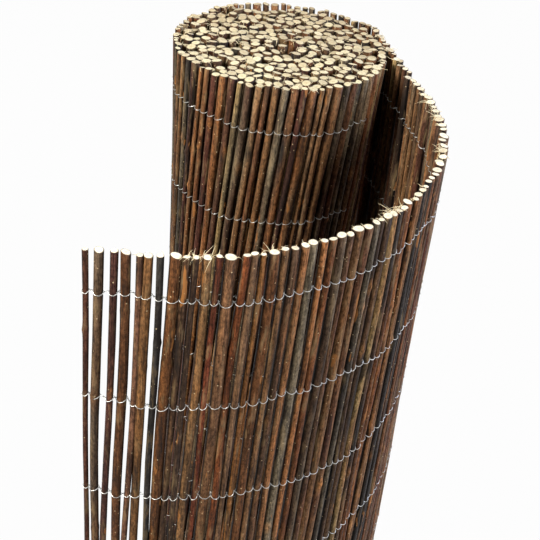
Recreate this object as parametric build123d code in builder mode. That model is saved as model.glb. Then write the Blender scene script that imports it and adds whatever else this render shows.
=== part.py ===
"""Willow screening: a mat of bark-on willow rods bound by rows of wire, wound into a roll that stands on end,
with its last half metre unrolled to the right of the roll and across its front.

Millimetres, +Z up along the rods. The origin is the foot of the core rod, on the roll's axis and on the ground.
The free edge of the mat lies in front of the roll (-Y) and to its left (-X).

The mat's outer face is laid out at mid height. Each rod is straight and crosses mid height at its own place in
the mat, with a lean of its own: in the roll the tops are turned round the axis against the feet, and along the
unrolled tail that lean dies away towards the free edge.
"""
from build123d import *
from dataclasses import dataclass
import math
import os
import random

# Rods
ROD_LENGTH = 1000.0
ROD_THIN = 5.4
ROD_THICK = 10.2
TOP_UNEVEN = 2.4
FOOT_LIFT_LEAST = 0.5
FOOT_LIFT_MOST = 2.5
STANDING_EVERY = 6
OUTER_SIDES = 6
INNER_SIDES = 5

# Free edge: the first rods are thin and stand apart, so light shows between them
EDGE_RODS = (3.9, 6.9, 5.2, 7.3, 4.6, 6.7, 5.2, 7.8, 5.4, 5.6, 7.7, 5.7, 9.1, 6.4, 6.1, 5.0, 8.0)
EDGE_GAPS = (2.9, 2.2, 2.7, 2.2, 2.4, 1.6, 1.5, 1.0, 1.0, 1.6, 0.7, 1.4, 0.9, 0.7, 1.4, 1.4)
EDGE_DROP = 12.0
EDGE_LEAN = 0.02

# Roll
ROLL_RADIUS = 107.0
INNER_DROP = 1.6
TURN_NODES = 8
INNER_THIN = 7.2
ROLL_GAP_LEAST = 0.3
ROLL_GAP_MOST = 0.45
TURN_GAP = 0.4
OUTER_SLACK = 0.2
INNER_SLACK = 0.2
CORE_GAP = 0.1
TWIST = math.radians(20.0)
LOOSE_ANGLE = math.radians(150.0)
LOOSE_GAP = 2.2

# Unrolled tail, from the roll outwards
LEAVE_ANGLE = math.radians(14.1)
LEAVE_TURN = math.radians(5.6)
RUN_OFF = 114.0
BEND_RADIUS = 225.0
BEND_ANGLE = math.radians(115.8)
END_RUN = 39.0
BEND_FLARE = 0.03
TAIL_THICK = 9.2
TAIL_GAP_LEAST = 0.5
TAIL_GAP_MOST = 1.3
RODS_PER_BAY = 12

# Binding wire
WIRE = 1.2
WIRE_ROWS = 10
FIRST_WIRE = 45.0
LAST_WIRE = 55.0
WIRE_GAP = 0.2
RODS_PER_SPAN = 4
WIRE_TUCK = math.radians(60.0)

MID_HEIGHT = ROD_LENGTH / 2
WIRE_PITCH = (ROD_LENGTH - FIRST_WIRE - LAST_WIRE) / (WIRE_ROWS - 1)
TURN_PITCH = ROD_THICK + TURN_GAP
LEAN_PER_MM = math.tan(TWIST) / MID_HEIGHT
# The last turn stands off far enough for the tail's tops to pass the turn below it
LOOSE_LIFT = (ROLL_RADIUS - TURN_PITCH) / math.cos(TWIST) + LOOSE_GAP + ROD_THICK - ROLL_RADIUS
LEAVE_RADIUS = ROLL_RADIUS + LOOSE_LIFT

dice = random.Random(11)


@dataclass
class Rod:
    """A straight rod: its centre at mid height, its lean for each mm of height, its ends and its facets."""

    centre: Vector
    lean: Vector
    foot: float
    top: float
    radius: float
    sides: int
    turned: float

    def at(self, height):
        """Centre of the rod's section at a height above the ground."""
        return self.centre + self.lean * (height - MID_HEIGHT)


def new_rod(centre, lean, diameter, sides, along, drop=0.0, standing=False):
    """One rod with uneven cut ends and a corner that points along the mat; a standing rod reaches the ground."""
    lift = dice.uniform(FOOT_LIFT_LEAST, FOOT_LIFT_MOST)
    top = ROD_LENGTH - drop - TOP_UNEVEN * dice.random() ** 2
    return Rod(
        centre=centre,
        lean=lean,
        foot=0.0 if standing else lift,
        top=top,
        radius=diameter / 2,
        sides=sides,
        turned=math.degrees(math.atan2(along.Y, along.X)),
    )


def roll_face(angle):
    """Radius of the mat's outer face, an angle of winding in from where the tail leaves the roll."""
    loose = max(0.0, 1 - angle / LOOSE_ANGLE)
    return ROLL_RADIUS - TURN_PITCH * angle / math.tau + LOOSE_LIFT * loose**2


def direction(angle):
    return Vector(math.cos(angle), math.sin(angle))


def quarter_turn(vector):
    return Vector(-vector.Y, vector.X)


# Outer face of the tail at mid height: straight off the roll, round one bend and straight to the free edge
leave_point = direction(LEAVE_ANGLE) * LEAVE_RADIUS
leave_heading = direction(LEAVE_ANGLE - math.pi / 2 + LEAVE_TURN)
with BuildLine() as tail_face:
    run_off = Line(leave_point, leave_point + leave_heading * RUN_OFF)
    bend = JernArc(run_off @ 1, run_off % 1, BEND_RADIUS, -math.degrees(BEND_ANGLE))
    Line(bend @ 1, (bend @ 1) + (bend % 1) * END_RUN)
tail_length = tail_face.wire().length


def tail_rods():
    """Rods of the tail from the free edge to the roll, flush with the mat's outer face.

    Returns them with the length of mat left between the last one's centre and the roll.
    """
    face = tail_face.wire()
    roll_lean = LEAN_PER_MM * (LEAVE_RADIUS - ROD_THICK / 2)
    rods = []
    diameter = EDGE_RODS[0]
    along = diameter / 2
    while along < tail_length:
        count = len(rods)
        share = along / tail_length
        point = face.position_at(tail_length - along, PositionMode.LENGTH)
        inwards = face.tangent_at(tail_length - along, PositionMode.LENGTH) * -1
        outwards = quarter_turn(inwards) * -1
        slope = EDGE_LEAN + (roll_lean - EDGE_LEAN) * share
        flare = BEND_FLARE * math.sin(math.pi * share)
        rods.append(
            new_rod(
                centre=point - outwards * (diameter / 2),
                lean=inwards * slope - outwards * flare,
                diameter=diameter,
                sides=OUTER_SIDES,
                along=inwards,
                drop=EDGE_DROP * (1 - share),
                standing=count % STANDING_EVERY == 0,
            )
        )
        left = tail_length - along
        count += 1
        drawn_gap = dice.uniform(TAIL_GAP_LEAST, TAIL_GAP_MOST)
        gap = EDGE_GAPS[count - 1] if count <= len(EDGE_GAPS) else drawn_gap
        along += diameter / 2 + gap
        diameter = EDGE_RODS[count] if count < len(EDGE_RODS) else dice.uniform(ROD_THIN, TAIL_THICK)
        along += diameter / 2
    return rods, left


def roll_rods(last, left):
    """Rods of the roll by turn, from the outside in, going on from the tail's last rod; each turn is a list.

    The last list takes the innermost rods too, where less than a turn is left.
    Each rod is clear of a plane square to the mat that touches the rod before it. An inner rod has a flat side on
    that plane, nearer its centre than its corners are.
    """
    turns = []
    angle = -left / LEAVE_RADIUS
    last_distance = LEAVE_RADIUS - last.radius
    count = 0
    while True:
        inner = angle > math.tau
        diameter = dice.uniform(INNER_THIN if inner else ROD_THIN, ROD_THICK)
        slack = (ROD_THICK - diameter) * dice.random() * (INNER_SLACK if inner else OUTER_SLACK)
        back = diameter / 2 * (math.cos(math.pi / INNER_SIDES) if inner else 1.0)
        apart = last.radius + dice.uniform(ROLL_GAP_LEAST, ROLL_GAP_MOST) + back
        if apart > last_distance:
            return turns
        angle += math.asin(apart / last_distance)
        distance = roll_face(angle) - diameter / 2 - slack
        if distance < (ROD_THICK + diameter) / 2:
            return turns
        centre = direction(LEAVE_ANGLE + angle) * distance
        turn = min(int(max(angle, 0.0) / math.tau), TURN_NODES - 1)
        last = new_rod(
            centre=centre,
            lean=quarter_turn(centre) * LEAN_PER_MM,
            diameter=diameter,
            sides=INNER_SIDES if inner else OUTER_SIDES,
            along=quarter_turn(centre),
            drop=INNER_DROP if inner else 0.0,
            standing=count % STANDING_EVERY == 0,
        )
        if turn == len(turns):
            turns.append([])
        turns[turn].append(last)
        last_distance = distance
        count += 1


def winding(rod):
    """Angle round the axis from where the tail leaves the roll, the way the mat winds in."""
    return (math.atan2(rod.centre.Y, rod.centre.X) - LEAVE_ANGLE) % math.tau


def rod_solid(rod):
    """A rod as a leaning faceted prism between its two level cut ends."""
    with BuildPart() as willow:
        with BuildSketch(Plane.XY.offset(rod.foot)):
            with Locations(rod.at(rod.foot)):
                RegularPolygon(rod.radius, rod.sides, rotation=rod.turned)
        axis = rod.lean + Vector(0, 0, 1)
        extrude(amount=(rod.top - rod.foot) * axis.length, dir=axis.normalized())
    return willow.part


def wire_line(rods, height):
    """Corners of the wire's inner side at a height: straight spans that clear the rods they bind.

    Returns the corners with their outward directions. Corners lie between rods on the mat's outer face, one span
    apart, and each is pushed out until the spans beside it pass every rod at the wire's gap.
    """
    centres = [rod.at(height) for rod in rods]
    alongs = [direction(math.radians(rod.turned)) for rod in rods]
    crests = [centre - quarter_turn(along) * rod.radius for centre, along, rod in zip(centres, alongs, rods)]
    ends = list(range(0, len(rods), RODS_PER_SPAN)) + [len(rods)]
    corners = [crests[0] - alongs[0] * rods[0].radius]
    outs = [quarter_turn(alongs[0]) * -1]
    for index in ends[1:-1]:
        corners.append((crests[index - 1] + crests[index]) * 0.5)
        outs.append(quarter_turn((alongs[index - 1] + alongs[index]).normalized()) * -1)
    corners.append(crests[-1] + alongs[-1] * rods[-1].radius)
    outs.append(quarter_turn(alongs[-1]) * -1)
    pushes = [0.0] * len(corners)
    for span, (start, stop) in enumerate(zip(ends, ends[1:])):
        out = quarter_turn((corners[span + 1] - corners[span]).normalized()) * -1
        held = range(max(start - 1, 0), min(stop + 1, len(rods)))
        reach = max((centres[i] - corners[span]).dot(out) + rods[i].radius for i in held) + WIRE_GAP
        for end in (span, span + 1):
            pushes[end] = max(pushes[end], reach / outs[end].dot(out))
    return [corner + out * push for corner, out, push in zip(corners, outs, pushes)], outs


def write(name, part):
    part.label = name
    export_step(part, f"parts/{name}.step")


os.makedirs("parts", exist_ok=True)

tail, tail_left = tail_rods()
turns = roll_rods(tail[-1], tail_left)
core_room = min(rod.centre.length - rod.radius for turn in turns[-2:] for rod in turn)
core = new_rod(Vector(0, 0), Vector(0, 0), 2 * (core_room - CORE_GAP), OUTER_SIDES, Vector(1, 0), standing=True)

write("core_rod", rod_solid(core))

for number, turn in enumerate(turns, 1):
    solids = [rod_solid(rod) for rod in turn]
    with BuildPart() as roll_turn:
        add(solids)
    write(f"roll_turn_{number:02d}", roll_turn.part)

write("edge_rod", rod_solid(tail[0]))

for number, first in enumerate(range(1, len(tail), RODS_PER_BAY), 1):
    solids = [rod_solid(rod) for rod in tail[first : first + RODS_PER_BAY]]
    with BuildPart() as tail_bay:
        add(solids)
    write(f"tail_bay_{number:02d}", tail_bay.part)

bound = tail + [rod for rod in turns[0] if winding(rod) < math.tau - WIRE_TUCK]
for row in range(WIRE_ROWS):
    height = ROD_LENGTH - FIRST_WIRE - row * WIRE_PITCH
    inner, outs = wire_line(bound, height)
    outer = [corner + out * WIRE for corner, out in zip(inner, outs)]
    with BuildPart() as binding_wire:
        with BuildSketch(Plane.XY.offset(height - WIRE / 2)):
            with BuildLine():
                Polyline(*inner, *reversed(outer), close=True)
            make_face()
        extrude(amount=WIRE)
    write(f"binding_wire_{row + 1:02d}", binding_wire.part)
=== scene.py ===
"""Looks of the willow screening roll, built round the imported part.

Metres, in the part's frame: +Z up along the rods, the roll's axis at the origin, the mat's free edge in
front of the roll (-Y) and to its left (-X). Each rod is a swept surface that follows one prism of the part,
and each row of binding wire is two strands swept round the rods.
"""

from dataclasses import dataclass, fields
import math

import bpy
import numpy as np
from mathutils import Matrix, Vector


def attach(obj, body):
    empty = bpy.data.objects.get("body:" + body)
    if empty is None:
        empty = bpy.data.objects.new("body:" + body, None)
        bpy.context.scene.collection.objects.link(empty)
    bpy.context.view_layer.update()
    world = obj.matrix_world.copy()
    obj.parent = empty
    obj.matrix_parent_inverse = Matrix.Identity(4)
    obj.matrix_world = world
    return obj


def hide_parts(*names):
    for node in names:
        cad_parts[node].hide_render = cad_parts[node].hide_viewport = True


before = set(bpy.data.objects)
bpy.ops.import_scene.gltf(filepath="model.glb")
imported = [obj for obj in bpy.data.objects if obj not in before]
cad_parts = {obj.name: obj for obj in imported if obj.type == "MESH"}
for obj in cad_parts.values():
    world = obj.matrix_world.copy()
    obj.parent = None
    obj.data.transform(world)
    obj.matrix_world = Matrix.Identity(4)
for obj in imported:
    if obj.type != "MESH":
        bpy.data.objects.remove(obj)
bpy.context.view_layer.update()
dice = np.random.default_rng(seed=23)
MM = 0.001

# Photograph: a 540 by 540 image taken from above and in front of the roll
IMAGE_SIZE = 540
FOCAL_PIXELS = 976.0
SENSOR = 36.0
CAMERA_PLACE = (12.3 * MM, -916.4 * MM, 1367.4 * MM)
CAMERA_PITCH = math.radians(34.91)
CAMERA_ROLL = math.radians(6.43)

# Studio
AMBIENT = 0.02
FLOOR_HALF = 6.0
FLOOR_WHITE = 0.98

# Mat: where the part's prisms end, bend and leave the roll, and how they are told apart
ROD_TOP = 1.0
MID_HEIGHT = 0.5
BEND_CENTRE = (-61.3 * MM, -155.2 * MM)
LEAVE_ANGLE = math.radians(14.1)
WIRE_TUCK = math.radians(60.0)
WELD_DECIMALS = 6
SPREAD_PASSES = 8

# Rods of the tail and the outer turn: counts from the free edge, thickness against the prisms, and bow
EDGE_COUNT = 8
FRONT_COUNT = 40
EDGE_SHARE = 1.05
FRONT_SHARE = 0.92
BACK_SHARE = 0.95
OUTER_SHARE = 0.93
EDGE_BOW = 1.2 * MM
TAIL_BOW = 0.9 * MM
OUTER_BOW = 0.65 * MM
EDGE_RISE = 2.0 * MM
TAPER = 0.06
ROD_SIDES = 16
ROD_RINGS = 26

# Crooked waves of a rod: half turns along it, and each wave's share of the bow
WAVES = np.array([1, 2, 3, 7])
WAVE_SHARES = np.array([0.5, 0.5, 0.5, 0.55])

# Lobes round a rod: share of the radius, number of lobes, and their turn along the rod in radians
LOBES = ((0.035, 2, 3), (0.025, 3, -5))

# Swellings along a rod: share of the radius, and radians along the rod
SWELLINGS = ((0.03, 19), (0.03, 61))

# Knots: shares of a rod's length and radius, radians from one knot to the next, and the bell of each one
KNOTS = 5
KNOT_FREE_END = 0.03
KNOT_STRAY = (0.1, 0.9)
KNOT_TURN = 2.4
KNOT_SIZES = (0.04, 0.34)
KNOT_LENGTH = 3.5 * MM
KNOT_NARROWNESS = 4
KNOT_COLLAR = 0.25
KNOT_RINGS = np.array([-9.0, -4.0, 0.0, 4.0, 9.0]) * MM
KNOT_CLEARANCE = 1.0 * MM

# Cut ends: slope of the cut, rim of the bark, and the rings of wood from the rim to the pith
CUT_SLOPE = 0.25
BARK_EDGE = np.array([0.965, 0.965, 1.0])
BARK_LIP = 0.15 * MM
FOOT_LIFT = 0.3 * MM
END_REACH = np.array([0.97, 1.0, 0.94, 0.5, 0.14])
END_RISE = np.array([-0.6, 0.06, 0.2, 0.28, 0.24]) * MM

# Roll's inner rods: packing, uneven tops, a waist that lets them pass each other, the hollow, plainer bark in
# painted shade
PACKED = 0.66
PACK_PASSES = 300
PACK_STEP = 0.4
LEAST_FIT = 0.6
INNER_SPREAD = 0.1
INNER_THICKEST = 4.3 * MM
INNER_RISE = 1.3 * MM
INNER_SINK = 1.0 * MM
WAIST = 0.15
HOLLOW_FORWARD = 18.0 * MM
HOLLOW_REACH = 16.0 * MM
HOLLOW_DEPTH = 5.0 * MM
INNER_SIDES = 10
INNER_RINGS = 3
# Share of the inner rods' bark tone that is kept: painted shade between the packed rods
INNER_PAINTED_SHADE = 0.45
INNER_UNEVEN = 0.5

# Binding wire: strand, loop round a rod, rows, and the sagging place in the top row
STRAND = 0.3 * MM
STRAND_SIDES = 5
STRAND_DIP = 1.7 * MM
STRAND_SWEEP = np.radians([-75, -48, -17, 17, 48, 75])
LOOP_CLEARANCE = 1.05
CROSSING = 1.1
FIRST_WIRE = 45.0 * MM
WIRE_PITCH = 100.0 * MM
WIRE_STRAY = 0.5 * MM
TILT = 0.5 * MM
TILT_STRAY = 0.6 * MM
SAG = 5.0 * MM
SAG_ROD = 12
SAG_REACH = 3.0

# Wander of a wire row: height, radians from rod to rod, and radians from row to row
WANDER = ((0.8 * MM, 0.7, 1.0), (1.4 * MM, 0.23, 2.1))

# Torn fibres: form and direction, lengths, counts on a rod, and the tail's rods that split
FIBRE = 0.3 * MM
FIBRE_RINGS = 6
FIBRE_SIDES = 3
FIBRE_TAPER = 0.7
FIBRE_ROOT = 0.95
FIBRE_FAN = 1.2
FIBRE_OUT = 0.7
FIBRE_STRAY = 0.6
FIBRE_LEAN = 0.4
FIBRE_CURL = 0.5
FIBRE_REACH = 6.0 * MM
FIBRE_LENGTH = 6.0 * MM
SHORTEST = 0.25
FRAYED_COUNT = 5
FRAYED_LONGER = 1.4
TAIL_FIBRES = (0.5, 12)
ROLL_FIBRES = 7
SPLIT_FIBRES = 10
SPLIT_RODS = np.array([9, 10, 16, 30, 31, 45, 52])

# Bark colours of the mat, and the share of rods that has each
BARK_MIX = {
    "#65482f": 0.22,
    "#44281f": 0.13,
    "#5a5040": 0.14,
    "#7a5030": 0.13,
    "#272320": 0.12,
    "#7d6744": 0.06,
    "#5c3822": 0.1,
    "#453326": 0.1,
}

# Bark of the first rods, listed from the free edge inwards: main colour, and the sunny side's
EDGE_BARK = (
    ("#452a20", "#35241b"),
    ("#573c29", "#4b4034"),
    ("#462c25", "#33231e"),
    ("#4b301e", "#3b271a"),
    ("#5c4030", "#442d22"),
    ("#6b4a2c", "#4f3926"),
    ("#2d2a27", "#211d1b"),
    ("#59381f", "#452c1c"),
    ("#4b3524", "#35271d"),
    ("#37291f", "#25201c"),
    ("#735335", "#5a422b"),
    ("#542a1b", "#40251a"),
    ("#674830", "#513a29"),
    ("#5a321c", "#432819"),
    ("#5a4330", "#443123"),
    ("#6f4a28", "#573820"),
    ("#56361f", "#432c1c"),
)

# Bark tone: weathering, share of a rod's second colour, and waves of it as share and radians for each metre
WEATHERED = (0.8, 1.2)
SECOND_SHARE = 0.3
SUNNY_SHARE = 0.35
WAVE_SHARE = 0.25
TONE_WAVES = ((1.0, 31), (0.7, 83))

# Bare wood at a knot, and painted shade on the sides towards the next rods: dark where they face a neighbour,
# full tone where they face out of the mat
BARE_LENGTH = 6.0 * MM
BARE_NARROWNESS = 3
PAINTED_GAP_SHADE = 0.07
FULL_SHADE_COSINE = 0.28
NO_SHADE_COSINE = 0.8

# Cut wood's tone: it goes to tan from a place in front of the axis to one behind it, as painted shade towards
# the back
BACK_SHADE_SPAN = (-60.0 * MM, 100.0 * MM)
BACK_SHADE_SHARES = (0.05, 0.65)
BACK_SHADE_STRAY = 0.16
END_SHADES = (0.8, 1.05)

# Range that most of a noise pattern's values lie in
NOISE_RANGE = {"From Min": 0.3, "From Max": 0.7}


def linear(hex_colour):
    """Linear red, green and blue of an sRGB hex value."""
    value = np.array([int(hex_colour[i : i + 2], 16) for i in (1, 3, 5)]) / 255
    return np.where(value <= 0.04045, value / 12.92, ((value + 0.055) / 1.055) ** 2.4)


def rgba(hex_colour):
    return (*linear(hex_colour), 1.0)


BARK = np.array([linear(colour) for colour in BARK_MIX])
BARK_SHARES = np.array(list(BARK_MIX.values()))
PEELED = linear("#a8713f")
FRESH = linear("#e6dcc1")
CREAM = linear("#d0c5a2")
SHADE_TAN = linear("#9a8562")


def add_node(tree, kind, inputs=None, **settings):
    """A node with its settings; each input is a value, or the output socket that feeds it."""
    made = tree.nodes.new(kind)
    for name, value in settings.items():
        setattr(made, name, value)
    for key, value in (inputs or {}).items():
        if isinstance(value, bpy.types.NodeSocket):
            tree.links.new(value, made.inputs[key])
        else:
            made.inputs[key].default_value = value
    return made


def new_material(name):
    """A material with an empty tree, and its output node."""
    material = bpy.data.materials.new(name)
    material.use_nodes = True
    material.node_tree.nodes.clear()
    return material, material.node_tree, material.node_tree.nodes.new("ShaderNodeOutputMaterial")


def willow_bark():
    """Dried willow bark, left on the rod: thin, almost matt, brown to maroon.

    It shows fine lengthwise fibres, a rough grain, blotches where it dried tan or dark, longer sooty stains,
    strips where its skin peeled, and small pale breathing pores.
    """
    material, tree, output = new_material("willow bark")
    place = add_node(tree, "ShaderNodeTexCoord").outputs["Object"]
    tone = add_node(tree, "ShaderNodeAttribute", attribute_name="tone").outputs["Color"]
    # Each mark's width, that width as a share of its length along the rod, and its detail and roughness;
    # fibre and grain are drawn coarser than real ones, so that they show
    marks = {}
    for name, width, slimness, detail, roughness in (
        ("fibre", 1.1 * MM, 0.03, 4.0, 0.6),
        ("blotch", 5.0 * MM, 0.16, 5.0, 0.62),
        ("grain", 1.8 * MM, 0.45, 4.0, 0.7),
        ("stain", 9.0 * MM, 0.12, 5.0, 0.65),
        ("strip", 7.0 * MM, 0.22, 3.0, 0.5),
    ):
        drawn = add_node(tree, "ShaderNodeMapping", {"Vector": place, "Scale": (1, 1, slimness)}).outputs[0]
        marks[name] = add_node(
            tree,
            "ShaderNodeTexNoise",
            {"Vector": drawn, "Scale": 1 / width, "Detail": detail, "Roughness": roughness},
        ).outputs[0]
    pore_spacing = 6.0 * MM
    marks["pore"] = add_node(
        tree, "ShaderNodeTexVoronoi", {"Vector": place, "Scale": 1 / pore_spacing}
    ).outputs["Distance"]
    streak = add_node(
        tree, "ShaderNodeMapRange", {"Value": marks["fibre"], **NOISE_RANGE, "To Min": 0.45, "To Max": 1.55}
    ).outputs[0]
    speck = add_node(
        tree, "ShaderNodeMapRange", {"Value": marks["grain"], **NOISE_RANGE, "To Min": 0.2, "To Max": 2.0}
    ).outputs[0]
    shade = add_node(tree, "ShaderNodeMath", {0: streak, 1: speck}, operation="MULTIPLY").outputs[0]
    colour = add_node(
        tree, "ShaderNodeMix", {0: 1.0, 6: tone, 7: shade}, data_type="RGBA", blend_type="MULTIPLY"
    ).outputs[2]
    # Each layer: the mark that it follows, the values where it starts and is full, its cover and its colour
    for mark, start, full, cover, layer in (
        ("blotch", 0.54, 0.74, 0.6, "#8f7857"),
        ("blotch", 0.46, 0.3, 0.7, "#1d1512"),
        ("stain", 0.54, 0.66, 0.8, "#1c1816"),
        ("strip", 0.68, 0.71, 0.85, "#8c5d33"),
        ("pore", 0.12, 0.06, 0.75, "#bda884"),
    ):
        share = add_node(
            tree,
            "ShaderNodeMapRange",
            {"Value": marks[mark], "From Min": start, "From Max": full, "To Min": 0.0, "To Max": cover},
        ).outputs[0]
        colour = add_node(
            tree, "ShaderNodeMix", {0: share, 6: colour, 7: rgba(layer)}, data_type="RGBA"
        ).outputs[2]
    gloss = add_node(
        tree, "ShaderNodeMapRange", {"Value": marks["blotch"], **NOISE_RANGE, "To Min": 0.36, "To Max": 0.62}
    ).outputs[0]
    relief = add_node(
        tree, "ShaderNodeMath", {0: marks["fibre"], 1: marks["grain"]}, operation="ADD"
    ).outputs[0]
    bump = add_node(
        tree, "ShaderNodeBump", {"Height": relief, "Strength": 0.8, "Distance": 0.5 * MM}
    ).outputs[0]
    surface = add_node(
        tree,
        "ShaderNodeBsdfPrincipled",
        {"Base Color": colour, "Roughness": gloss, "Specular IOR Level": 0.06, "Normal": bump},
    )
    tree.links.new(surface.outputs[0], output.inputs[0])
    return material


def cut_willow():
    """Cross-cut willow wood: dry, pale cream, matt, with a soft brown pith and a dark skin under the bark."""
    material, tree, output = new_material("cut willow wood")
    place = add_node(tree, "ShaderNodeTexCoord").outputs["Object"]
    tone = add_node(tree, "ShaderNodeAttribute", attribute_name="tone").outputs["Color"]
    reach = add_node(tree, "ShaderNodeAttribute", attribute_name="reach").outputs["Fac"]
    torn_width = 0.9 * MM
    torn = add_node(
        tree, "ShaderNodeTexNoise", {"Vector": place, "Scale": 1 / torn_width, "Detail": 3.0}
    ).outputs[0]
    shade = add_node(
        tree, "ShaderNodeMapRange", {"Value": torn, **NOISE_RANGE, "To Min": 0.72, "To Max": 1.15}
    ).outputs[0]
    colour = add_node(
        tree, "ShaderNodeMix", {0: 1.0, 6: tone, 7: shade}, data_type="RGBA", blend_type="MULTIPLY"
    ).outputs[2]
    # Pith and skin: shares of the radius where each starts and is full, its cover and its colour
    for start, full, cover, layer in ((0.34, 0.12, 0.3, "#8a6038"), (0.82, 0.95, 0.9, "#3f2d1f")):
        share = add_node(
            tree,
            "ShaderNodeMapRange",
            {"Value": reach, "From Min": start, "From Max": full, "To Min": 0.0, "To Max": cover},
        ).outputs[0]
        colour = add_node(
            tree, "ShaderNodeMix", {0: share, 6: colour, 7: rgba(layer)}, data_type="RGBA"
        ).outputs[2]
    bump = add_node(
        tree, "ShaderNodeBump", {"Height": torn, "Strength": 0.5, "Distance": 0.3 * MM}
    ).outputs[0]
    surface = add_node(
        tree, "ShaderNodeBsdfPrincipled", {"Base Color": colour, "Roughness": 0.8, "Normal": bump}
    )
    tree.links.new(surface.outputs[0], output.inputs[0])
    return material


def galvanised_wire():
    """Zinc-coated soft steel wire, drawn and bright, dulled a little in patches."""
    material, tree, output = new_material("galvanised wire")
    place = add_node(tree, "ShaderNodeTexCoord").outputs["Object"]
    patch_size = 4.0 * MM
    patch = add_node(
        tree, "ShaderNodeTexNoise", {"Vector": place, "Scale": 1 / patch_size, "Detail": 2.0}
    ).outputs[0]
    colour = add_node(
        tree, "ShaderNodeMix", {0: patch, 6: rgba("#c4c4c1"), 7: rgba("#8f8e89")}, data_type="RGBA"
    ).outputs[2]
    gloss = add_node(
        tree, "ShaderNodeMapRange", {"Value": patch, **NOISE_RANGE, "To Min": 0.28, "To Max": 0.5}
    ).outputs[0]
    surface = add_node(
        tree, "ShaderNodeBsdfPrincipled", {"Base Color": colour, "Metallic": 1.0, "Roughness": gloss}
    )
    tree.links.new(surface.outputs[0], output.inputs[0])
    return material


def bast_fibre():
    """Torn inner bark: dry, pale straw-coloured fibres."""
    material, tree, output = new_material("willow bast fibre")
    surface = add_node(tree, "ShaderNodeBsdfPrincipled", {"Base Color": rgba("#d6c6a0"), "Roughness": 0.75})
    tree.links.new(surface.outputs[0], output.inputs[0])
    return material


def white_for_viewers(tree, strength):
    """Share of white light that a surface shows to the camera, to gloss and through glass."""
    rays = add_node(tree, "ShaderNodeLightPath")
    seen = add_node(
        tree,
        "ShaderNodeMath",
        {0: rays.outputs["Is Camera Ray"], 1: rays.outputs["Is Glossy Ray"]},
        operation="MAXIMUM",
    ).outputs[0]
    seen = add_node(
        tree, "ShaderNodeMath", {0: seen, 1: rays.outputs["Is Transmission Ray"]}, operation="MAXIMUM"
    ).outputs[0]
    return add_node(tree, "ShaderNodeMath", {0: seen, 1: strength}, operation="MULTIPLY").outputs[0]


def white_floor():
    """Floor that shows as white paper with a trace of the shadow, over matt grey that returns little light."""
    material, tree, output = new_material("white floor")
    seen = white_for_viewers(tree, FLOOR_WHITE)
    matt = add_node(tree, "ShaderNodeBsdfDiffuse", {"Color": rgba("#4c4c4c")})
    paper = add_node(tree, "ShaderNodeEmission", {"Color": (1, 1, 1, 1), "Strength": 1.0})
    surface = add_node(tree, "ShaderNodeMixShader", {0: seen, 1: matt.outputs[0], 2: paper.outputs[0]})
    tree.links.new(surface.outputs[0], output.inputs[0])
    return material


def any_angle(*shape):
    """Angles drawn evenly from the full turn."""
    return dice.uniform(0, math.tau, shape)


def unit(vectors):
    """The vectors, each scaled to a length of one."""
    return vectors / np.linalg.norm(vectors, axis=1, keepdims=True)


def rods_in(nodes):
    """Foot centre, top centre and corner radius of every prism in some CAD nodes.

    Corners of one triangle belong to one prism, so the least corner number is spread over the triangles until
    each prism has one number of its own. Corners above and below mid height are then averaged by that number.
    """
    feet, tops, radii = [], [], []
    for node in nodes:
        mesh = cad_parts[node].data
        corners = np.empty(3 * len(mesh.vertices))
        mesh.vertices.foreach_get("co", corners)
        loops = np.empty(len(mesh.loops), int)
        mesh.loops.foreach_get("vertex_index", loops)
        corners = corners.reshape(-1, 3).round(WELD_DECIMALS)
        points, index = np.unique(corners, axis=0, return_inverse=True)
        triangles = index.ravel()[loops].reshape(-1, 3)
        number = np.arange(len(points))
        for _ in range(SPREAD_PASSES):
            np.minimum.at(number, triangles, number[triangles].min(1, keepdims=True))
        rod = np.unique(number, return_inverse=True)[1].ravel()
        for high, ends in ((False, feet), (True, tops)):
            part = (points[:, 2] > MID_HEIGHT) == high
            total = np.stack([np.bincount(rod[part], points[part, axis]) for axis in range(3)], 1)
            ends.append(total / np.bincount(rod[part])[:, None])
        low = points[:, 2] < MID_HEIGHT
        spread = ((points - feet[-1][rod]) ** 2).sum(1)
        radii.append(np.sqrt(np.bincount(rod[low], spread[low]) / np.bincount(rod[low])))
    return np.concatenate(feet), np.concatenate(tops), np.concatenate(radii)


@dataclass
class Rods:
    """A set of rods in mat order: both ends' centres and radii, and the crooked waves along each one."""

    foot: np.ndarray
    top: np.ndarray
    foot_radius: np.ndarray
    top_radius: np.ndarray
    bow: np.ndarray
    phase: np.ndarray
    waist: np.ndarray

    @property
    def count(self):
        return len(self.foot)

    @property
    def radius(self):
        return (self.foot_radius + self.top_radius) / 2

    def share(self, height):
        """Share of each rod's length that lies below a height."""
        return (height - self.foot[:, None, 2]) / (self.top - self.foot)[:, None, 2]

    def centre(self, height):
        """Straight line from foot to top, plus a sine for each of the rod's crooked waves."""
        share = self.share(height)
        line = self.foot[:, None] + (self.top - self.foot)[:, None] * share[..., None]
        turns = share[:, :, None] * math.pi * WAVES + self.phase[:, None]
        line[..., :2] += np.einsum("rhw,rwa->rha", np.sin(turns), self.bow)
        return line

    def girth(self, height):
        """Radius at a height: an even taper between the ends, drawn in at the waist."""
        share = self.share(height)
        taper = self.foot_radius[:, None] * (1 - share) + self.top_radius[:, None] * share
        return taper * (1 - self.waist[:, None] * np.sin(math.pi * share))

    def picked(self, keep):
        return Rods(*(getattr(self, field.name)[keep] for field in fields(self)))

    def followed_by(self, other):
        names = [field.name for field in fields(self)]
        return Rods(*(np.concatenate([getattr(self, name), getattr(other, name)]) for name in names))


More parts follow.
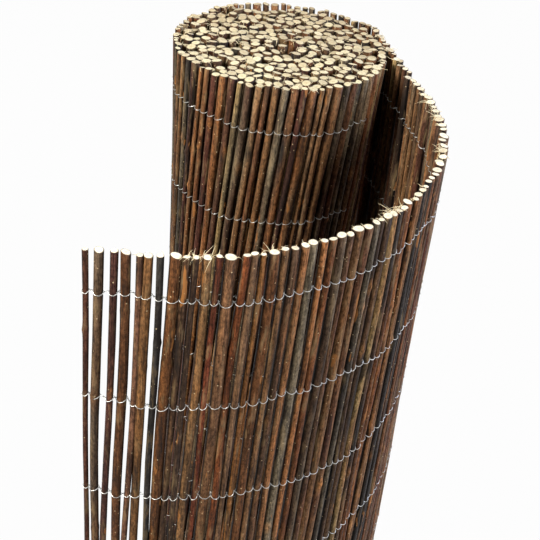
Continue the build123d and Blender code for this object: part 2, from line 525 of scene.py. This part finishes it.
def crooked_rods(foot, top, radius, bow):
    """Rods along the mat, each with its own crooked waves and thicker at the butt than at the tip."""
    count = len(radius)
    butt_down = dice.choice([-1, 1], count)
    return Rods(
        foot=foot,
        top=top,
        foot_radius=radius * (1 + TAPER * butt_down),
        top_radius=radius * (1 - TAPER * butt_down),
        bow=dice.normal(0, bow, (count, len(WAVES), 2)) * WAVE_SHARES[:, None],
        phase=any_angle(count, len(WAVES)),
        waist=np.zeros(count),
    )


def settled(place, radius, held_place, held_radius):
    """Centres and radii of round rod ends that lie packed inside a ring of held ends.

    The radii are first scaled so that the ends cover a set share of the ring. Each pass then moves an end
    by a set share of its overlap with each neighbour, and by twice that share of its overlap with a held
    end. Last, each radius is cut to fit.
    """
    inside = (np.linalg.norm(held_place, axis=1) - held_radius) ** 2
    radius = radius * np.sqrt(PACKED * inside.mean() / (radius**2).sum())
    others = np.concatenate([place, held_place])
    sizes = np.concatenate([radius, held_radius])
    give = np.where(np.arange(len(others)) < len(place), PACK_STEP, 2 * PACK_STEP)
    apart = radius[:, None] + sizes
    own = np.arange(len(place))
    for _ in range(PACK_PASSES):
        away = others[: len(place), None] - others
        distance = np.hypot(away[..., 0], away[..., 1])
        distance[own, own] = 1.0
        overlap = np.clip(apart - distance, 0, None) * give / distance
        overlap[own, own] = 0.0
        others[: len(place)] += (overlap[..., None] * away).sum(1)
    fit = np.clip((distance / apart).min(1), LEAST_FIT, 1.0)
    return others[: len(place)], radius * fit


def tube_faces(count, rings, sides):
    """Quads between the rings of many tubes laid one after another, and a flat cap at each end of each."""
    side = np.arange(sides)
    after = np.roll(side, -1)
    ring = np.arange(rings - 1)[:, None] * sides
    quads = np.stack([ring + side, ring + after, ring + sides + after, ring + sides + side], -1)
    first = np.arange(count) * rings * sides
    quads = first[:, None, None, None] + quads
    low_caps = first[:, None] + side[::-1]
    high_caps = first[:, None] + (rings - 1) * sides + side
    return quads.reshape(-1, 4).tolist() + low_caps.tolist() + high_caps.tolist()


def new_piece(name, points, faces, material, nodes=(), colours=None, values=None):
    """A smooth mesh piece that rides with the part.

    It may stand for CAD nodes, and carry a colour and a value at each of its points.
    """
    mesh = bpy.data.meshes.new(name)
    mesh.from_pydata(points.reshape(-1, 3).tolist(), [], faces)
    mesh.shade_smooth()
    if colours is not None:
        shades = np.ones((len(mesh.vertices), 4), np.float32)
        shades[:, :3] = colours.reshape(-1, 3)
        mesh.attributes.new("tone", "FLOAT_COLOR", "POINT").data.foreach_set("color", shades.ravel())
    if values is not None:
        reach = values.reshape(-1).astype(np.float32)
        mesh.attributes.new("reach", "FLOAT", "POINT").data.foreach_set("value", reach)
    mesh.materials.append(material)
    piece = bpy.data.objects.new(name, mesh)
    bpy.context.scene.collection.objects.link(piece)
    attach(piece, "root")
    if nodes:
        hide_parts(*nodes)


def bark_surface(rods, angle, rings, knots, uneven):
    """Points of each rod's bark, ring by ring from foot to top, and where its rings and knots are.

    Radius = taper, times lobes round the rod and swellings along it, plus a bump at each knot that falls
    off as a bell along the rod and round it. The top ring is tilted as the cut is, and a smaller ring
    closes each end.
    """
    count = rods.count
    foot = rods.foot[:, None, 2]
    length = (rods.top - rods.foot)[:, None, 2]
    knot_share = (np.arange(knots) + dice.uniform(*KNOT_STRAY, (count, knots))) / max(knots, 1)
    knot_height = foot + length * (KNOT_FREE_END + (1 - 2 * KNOT_FREE_END) * knot_share)
    even = foot + length * np.linspace(0, 1, rings)
    near_knots = (knot_height[:, :, None] + KNOT_RINGS).reshape(count, -1)
    near_knots = np.clip(near_knots, foot + KNOT_CLEARANCE, foot + length - KNOT_CLEARANCE)
    height = np.sort(np.concatenate([even, near_knots], 1), 1)
    share = rods.share(height)[..., None]
    out_of_round = 0.0
    for size, lobes, turn in LOBES:
        out_of_round = out_of_round + size * np.cos(lobes * angle + any_angle(count, 1, 1) + turn * share)
    for size, turn in SWELLINGS:
        out_of_round = out_of_round + size * np.sin(share * turn + any_angle(count, 1, 1))
    radius = rods.girth(height)[..., None] * (1 + uneven * out_of_round)
    knot_angle = any_angle(count, 1) + np.arange(knots) * KNOT_TURN
    knot_size = dice.uniform(*KNOT_SIZES, (count, knots)) * rods.radius[:, None]
    away = height[:, :, None] - knot_height[:, None]
    bell = knot_size[:, None] * np.exp(-((away / KNOT_LENGTH) ** 2))
    facing = np.cos(angle - knot_angle[..., None]) - 1
    radius = radius + np.einsum("rhk,rks->rhs", bell, np.exp(KNOT_NARROWNESS * facing) + KNOT_COLLAR)
    spoke = np.stack([np.cos(angle), np.sin(angle), np.zeros(len(angle))], -1)
    centre = rods.centre(height)
    points = centre[:, :, None] + radius[..., None] * spoke
    slope = dice.uniform(0.0, CUT_SLOPE, (count, 1))
    cut = slope * np.cos(angle - any_angle(count, 1)) * radius[:, -1]
    points[:, -1, :, 2] += cut - slope * rods.radius[:, None] / 2
    points[:, 0, :, 2] += FOOT_LIFT
    low = centre[:, :1] + (points[:, 0] - centre[:, :1]) * BARK_EDGE
    high = centre[:, -1:] + (points[:, -1] - centre[:, -1:]) * BARK_EDGE
    high[..., 2] += BARK_LIP
    points = np.concatenate([low[:, None], points, high[:, None]], 1)
    height = np.concatenate([height[:, :1], height, height[:, -1:]], 1)
    return points, height, knot_height, knot_angle


def bark_tone(rods, angle, height, knot_height, knot_angle, edge_colours):
    """Tone of each point of the rods' bark.

    It goes from the rod's main colour to its second one on the side of the rod that faced the sun and with
    waves along it, and to bare wood at some knots. On rods with knots, the sides towards the next rods
    darken as painted shade between the rods, by the cosine of the angle from the mat's face.
    """
    count = rods.count
    first = BARK[dice.choice(len(BARK), count, p=BARK_SHARES)]
    second = BARK[dice.choice(len(BARK), count, p=BARK_SHARES)]
    for number, pair in enumerate(edge_colours):
        first[number], second[number] = linear(pair[0]), linear(pair[1])
    weather = dice.uniform(*WEATHERED, (count, 1))
    weather[: len(edge_colours)] = 1.0
    sunny = np.cos(angle - any_angle(count, 1))
    wave = sum(size * np.sin(height * turn + any_angle(count, 1)) for size, turn in TONE_WAVES)
    mix = SECOND_SHARE + SUNNY_SHARE * sunny[:, None] + WAVE_SHARE * wave[..., None]
    mix = np.clip(mix, 0, 1)[..., None]
    tone = (first * weather)[:, None, None] * (1 - mix) + (second * weather)[:, None, None] * mix
    knots = knot_height.shape[1]
    if knots:
        away = height[:, :, None] - knot_height[:, None]
        peeled = dice.random((count, knots)) ** 2
        bell = peeled[:, None] * np.exp(-((away / BARE_LENGTH) ** 2))
        facing = np.cos(angle - knot_angle[..., None]) - 1
        bare = np.clip(np.einsum("rhk,rks->rhs", bell, np.exp(BARE_NARROWNESS * facing)), 0, 1)[..., None]
        tone = tone * (1 - bare) + PEELED * bare
        # Painted shade between the rods: the bark falls to a small share of its tone on the sides that face
        # the next rods
        along = np.gradient((rods.foot + rods.top)[:, :2], axis=0)
        across = np.arctan2(-along[:, 0], along[:, 1])[:, None]
        light = np.interp(np.abs(np.cos(angle - across)), (FULL_SHADE_COSINE, NO_SHADE_COSINE), (PAINTED_GAP_SHADE, 1.0))
        tone *= light[:, None, :, None]
    return tone


def end_surface(edge, reach, rise):
    """Rings of each rod's cut end: the bark's edge drawn in towards its middle and raised, ring by ring."""
    middle = edge.mean(1, keepdims=True)
    rings = middle[:, None] + (edge - middle)[:, None] * reach[:, None, None]
    rings[..., 2] += rise[:, None]
    return rings


def dress_rods(name, rods, nodes, palest, edge_colours=(), inside=False):
    """Bark of a set of rods as one piece, and the wood of their cut tops and feet as another.

    The wood goes from its palest tone to tan with the rod's place from front to back, as painted shade towards
    the back.
    """
    sides = INNER_SIDES if inside else ROD_SIDES
    rings = INNER_RINGS if inside else ROD_RINGS
    knots = 0 if inside else KNOTS
    uneven = INNER_UNEVEN if inside else 1.0
    angle = np.arange(sides) / sides * math.tau
    points, *knotted = bark_surface(rods, angle, rings, knots, uneven)
    # The inner rods' bark is scaled down as painted shade between the packed rods
    tone = bark_tone(rods, angle, *knotted, edge_colours) * (INNER_PAINTED_SHADE if inside else 1.0)
    faces = tube_faces(rods.count, points.shape[1], sides)
    new_piece(name, points, faces, bark, nodes, tone)
    # Painted shade: the cut ends go to tan towards the back, with a random stray for each rod
    back_shade_share = np.interp(rods.top[:, 1], BACK_SHADE_SPAN, BACK_SHADE_SHARES) + dice.normal(0, BACK_SHADE_STRAY, rods.count)
    back_shade_share = np.clip(back_shade_share, 0, 1)[:, None]
    end_tone = (palest * (1 - back_shade_share) + SHADE_TAN * back_shade_share) * dice.uniform(*END_SHADES, (rods.count, 1))
    tops = end_surface(points[:, -1], END_REACH, END_RISE)
    feet = end_surface(points[:, 0], END_REACH[::-1], -END_RISE[::-1])
    ends = np.concatenate([tops, feet])
    reach = np.stack([END_REACH, END_REACH[::-1]]).repeat(rods.count, 0)[..., None].repeat(sides, 2)
    shades = np.broadcast_to(np.concatenate([end_tone, end_tone])[:, None, None], ends.shape)
    faces = tube_faces(2 * rods.count, len(END_REACH), sides)
    new_piece(name + "_cut_ends", ends, faces, cut_wood, (), shades, reach)


def wire_path(rods, level, tilt, first_side):
    """Line of one strand of a wire row along the mat, at the middle of the strand.

    On each rod it is an arc of the rod's own radius, on the outer and the inner side of the mat by turns,
    that sags as a cosine towards the rod's middle. Between two rods it passes above or below the other
    strand.
    """
    centre = rods.centre(level[:, None])[:, 0]
    reach = rods.girth(level[:, None])[:, 0] * LOOP_CLEARANCE + STRAND
    along = np.gradient(centre, axis=0)
    along[:, 2] = 0
    along = unit(along)
    out = np.stack([along[:, 1], -along[:, 0], np.zeros(rods.count)], 1)
    side = first_side * (1 - 2 * (np.arange(rods.count) % 2))
    arc = (
        centre[:, None]
        + (reach[:, None] * np.sin(STRAND_SWEEP))[..., None] * along[:, None]
        + ((reach * side)[:, None] * np.cos(STRAND_SWEEP))[..., None] * out[:, None]
    )
    arc[..., 2] += tilt[:, None] * np.sin(STRAND_SWEEP) - STRAND_DIP * np.cos(STRAND_SWEEP)
    before = centre - along * reach[:, None]
    after = centre + along * reach[:, None]
    between = (after[:-1] + before[1:]) / 2
    between[:, 2] += side[:-1] * STRAND * CROSSING
    between = np.concatenate([between, after[-1:]])
    path = np.concatenate([arc, between[:, None]], 1).reshape(-1, 3)
    return np.concatenate([before[:1], path])


def strand_surface(path):
    """A round strand along a path: at each point a ring square to the line between its neighbours."""
    heading = unit(np.gradient(path, axis=0))
    level = unit(np.cross(heading, [0, 0, 1.0]))
    rise = np.cross(level, heading)
    angle = np.arange(STRAND_SIDES) / STRAND_SIDES * math.tau
    ring = np.cos(angle)[:, None] * level[:, None] + np.sin(angle)[:, None] * rise[:, None]
    return path[:, None] + STRAND * ring


def fibre_surface(root, heading, length, curl):
    """Thin round fibres, root + length * (heading * s + curl * s * s) for s from 0 to 1, with thin tips."""
    share = np.linspace(0, 1, FIBRE_RINGS)[:, None]
    path = root[:, None] + length[:, None, None] * (heading[:, None] * share + curl[:, None] * share**2)
    slanting = [0.3, -0.8, 0.2]
    level = unit(np.cross(heading, slanting))
    square = np.cross(level, heading)
    angle = np.arange(FIBRE_SIDES) / FIBRE_SIDES * math.tau
    ring = np.cos(angle)[:, None] * level[:, None] + np.sin(angle)[:, None] * square[:, None]
    return path[:, :, None] + FIBRE * (1 - FIBRE_TAPER * share)[..., None] * ring[:, None]


def fray_rods(name, rods, frayed):
    """Fibres at the tops of a set of rods; their count on each rod is its frayed value, rounded.

    Each starts at the bark, most often on the side towards the bend's centre, leans out and up, and droops.
    """
    rod = np.repeat(np.arange(rods.count), np.round(frayed).astype(int))
    count = len(rod)
    inwards = np.arctan2(BEND_CENTRE[1] - rods.top[rod, 1], BEND_CENTRE[0] - rods.top[rod, 0])
    angle = inwards + dice.normal(0, FIBRE_FAN, count)
    out = np.stack([np.cos(angle), np.sin(angle), np.zeros(count)], 1)
    root = rods.centre(rods.top[:, 2:])[rod, 0] + out * (rods.top_radius[rod] * FIBRE_ROOT)[:, None]
    lean = np.array([0, 0, FIBRE_LEAN])
    heading = unit(FIBRE_OUT * out + dice.normal(0, FIBRE_STRAY, (count, 3)) + lean)
    curl = dice.normal(0, FIBRE_CURL, (count, 3)) - lean
    length = FIBRE_LENGTH * (SHORTEST + (1 - SHORTEST) * dice.random(count) ** 2)
    length *= np.clip(frayed[rod] / FRAYED_COUNT, 1, FRAYED_LONGER)
    points = fibre_surface(root, heading, length, curl)
    points[..., 2] = np.minimum(points[..., 2], ROD_TOP + FIBRE_REACH)
    new_piece(name, points, tube_faces(count, FIBRE_RINGS, FIBRE_SIDES), fibre)


def softbox(name, place, aim, size, power, colour):
    """A square lamp at a place, turned towards a point."""
    lamp = bpy.data.lights.new(name, "AREA")
    lamp.size = size
    lamp.energy = power
    lamp.color = linear(colour)
    box = bpy.data.objects.new(name, lamp)
    box.location = place
    box.rotation_euler = (Vector(aim) - Vector(place)).to_track_quat("-Z", "Y").to_euler()
    bpy.context.scene.collection.objects.link(box)


bark = willow_bark()
cut_wood = cut_willow()
wire = galvanised_wire()
fibre = bast_fibre()

node_names = sorted(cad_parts)
tail_nodes = [name for name in node_names if name.startswith(("edge_rod", "tail_bay"))]
outer_nodes = ["roll_turn_01"]
roll_nodes = [name for name in node_names if name.startswith(("core_rod", "roll_turn"))]
inner_nodes = [name for name in roll_nodes if name not in outer_nodes]
wire_nodes = [name for name in node_names if name.startswith("binding_wire")]

# Tail, from the free edge round the bend to the roll
foot, top, radius = rods_in(tail_nodes)
middle = (foot + top) / 2
order = np.argsort(np.arctan2(middle[:, 1] - BEND_CENTRE[1], middle[:, 0] - BEND_CENTRE[0]))
number = np.arange(len(order))
free = number < EDGE_COUNT
radius = radius[order] * np.where(free, EDGE_SHARE, np.where(number < FRONT_COUNT, FRONT_SHARE, BACK_SHARE))
bow = np.where(free, EDGE_BOW, TAIL_BOW)[:, None, None]
tail = crooked_rods(foot[order], top[order], radius, bow)
tail.top[:, 2] += EDGE_RISE * np.linspace(1, 0, tail.count)

# Outer turn, on from the tail; its wire shows up to where the tail covers it
foot, top, radius = rods_in(outer_nodes)
middle = (foot + top) / 2
winding = (np.arctan2(middle[:, 1], middle[:, 0]) - LEAVE_ANGLE) % math.tau
order = np.argsort(winding)
outer = crooked_rods(foot[order], top[order], radius[order] * OUTER_SHARE, OUTER_BOW)
wired_outer = outer.picked(winding[order] < math.tau - WIRE_TUCK)

# Inner turns, packed at both ends inside the outer one, with a few sunken tops in front of the axis
foot, top, radius = rods_in(inner_nodes)
count = len(radius)
radius = np.minimum(radius * np.exp(dice.normal(0, INNER_SPREAD, count)), INNER_THICKEST)
foot[:, :2], foot_radius = settled(foot[:, :2], radius, outer.foot[:, :2], outer.foot_radius)
top[:, :2], top_radius = settled(top[:, :2], radius, outer.top[:, :2], outer.top_radius)
from_hollow = np.hypot(top[:, 0], top[:, 1] + HOLLOW_FORWARD)
hollow = np.exp(-((from_hollow / HOLLOW_REACH) ** 2)) * dice.random(count)
top[:, 2] += INNER_RISE - dice.exponential(INNER_SINK, count) - HOLLOW_DEPTH * hollow
straight = np.zeros((count, len(WAVES), 2))
inner = Rods(foot, top, foot_radius, top_radius, straight, straight[..., 0], np.full(count, WAIST))

dress_rods("tail_rods", tail, tail_nodes, FRESH, EDGE_BARK)
dress_rods("outer_turn_rods", outer, outer_nodes, CREAM)
dress_rods("inner_turn_rods", inner, inner_nodes, CREAM, inside=True)

# Torn fibres: few on the roll, more along the tail towards the roll, and most on the rods that split;
# a power of each draw keeps high counts rare
roll = outer.followed_by(inner)
split = np.exp(-((np.arange(tail.count)[:, None] - SPLIT_RODS) ** 2)).sum(1)
tail_frayed = np.linspace(*TAIL_FIBRES, tail.count) * dice.random(tail.count) ** 1.5 + SPLIT_FIBRES * split
roll_frayed = ROLL_FIBRES * dice.random(roll.count) ** 2
fray_rods("tail_fibres", tail, tail_frayed)
fray_rods("roll_fibres", roll, roll_frayed)

# Binding wire, row by row from the top
bound = tail.followed_by(wired_outer)
number = np.arange(bound.count)
for row, node in enumerate(wire_nodes):
    level = ROD_TOP - FIRST_WIRE - row * WIRE_PITCH + dice.normal(0, WIRE_STRAY, bound.count)
    level += sum(size * np.sin(number * step + row * shift) for size, step, shift in WANDER)
    if row == 0:
        level -= SAG * np.exp(-(((number - SAG_ROD) / SAG_REACH) ** 2))
    tilt = dice.normal(TILT, TILT_STRAY, bound.count)
    strands = [strand_surface(wire_path(bound, level, tilt, first_side)) for first_side in (1, -1)]
    faces = tube_faces(2, len(strands[0]), STRAND_SIDES)
    new_piece(node + "_strands", np.concatenate(strands), faces, wire, (node,))

# Floor
floor_points = np.array([(-1, -1, 0), (1, -1, 0), (1, 1, 0), (-1, 1, 0)]) * FLOOR_HALF
floor_mesh = bpy.data.meshes.new("floor")
floor_mesh.from_pydata(floor_points.tolist(), [], [(0, 1, 2, 3)])
floor_mesh.materials.append(white_floor())
floor = bpy.data.objects.new("floor", floor_mesh)
bpy.context.scene.collection.objects.link(floor)

# White surroundings, which light the part only a little
scene = bpy.context.scene
scene.view_settings.view_transform = "Standard"
world = bpy.data.worlds.new("studio")
scene.world = world
world.use_nodes = True
sky = world.node_tree
sky.nodes.clear()
seen = white_for_viewers(sky, 1 - AMBIENT)
strength = add_node(sky, "ShaderNodeMath", {0: seen, 1: AMBIENT}, operation="ADD").outputs[0]
background = add_node(sky, "ShaderNodeBackground", {"Color": (1, 1, 1, 1), "Strength": strength})
add_node(sky, "ShaderNodeOutputWorld", {0: background.outputs[0]})

# Lamps: place, aim and size in metres, power in watts, and colour
softbox("left_softbox", (-1.2, -0.95, 1.9), (0, -0.15, 0.8), 0.5, 59.0, "#fffbf2")
softbox("right_softbox", (2.1, -0.1, 1.5), (0.1, -0.15, 0.8), 0.5, 58.0, "#d2dcff")
softbox("front_softbox", (1.0, -1.8, 1.7), (0.05, -0.3, 0.85), 0.5, 34.0, "#ffffff")
softbox("top_softbox", (-0.4, 0.5, 3.0), (0, 0, 0.9), 0.8, 18.0, "#ffffff")
softbox("back_softbox", (-0.7, 2.2, 1.2), (0, 0, 0.6), 0.8, 42.0, "#ffffff")

# Camera: level axes turned down by the pitch, then round the line of sight by the roll
cosine, sine = math.cos(CAMERA_PITCH), math.sin(CAMERA_PITCH)
forward = Vector((0, cosine, -sine))
level_right = Vector((1, 0, 0))
level_up = Vector((0, sine, cosine))
right = math.cos(CAMERA_ROLL) * level_right + math.sin(CAMERA_ROLL) * level_up
up = -math.sin(CAMERA_ROLL) * level_right + math.cos(CAMERA_ROLL) * level_up
lens = bpy.data.cameras.new("camera")
lens.sensor_width = SENSOR
lens.lens = FOCAL_PIXELS / IMAGE_SIZE * SENSOR
camera = bpy.data.objects.new("camera", lens)
pose = Matrix((right, up, -forward)).transposed().to_4x4()
pose.translation = Vector(CAMERA_PLACE)
camera.matrix_world = pose
scene.collection.objects.link(camera)
scene.camera = camera
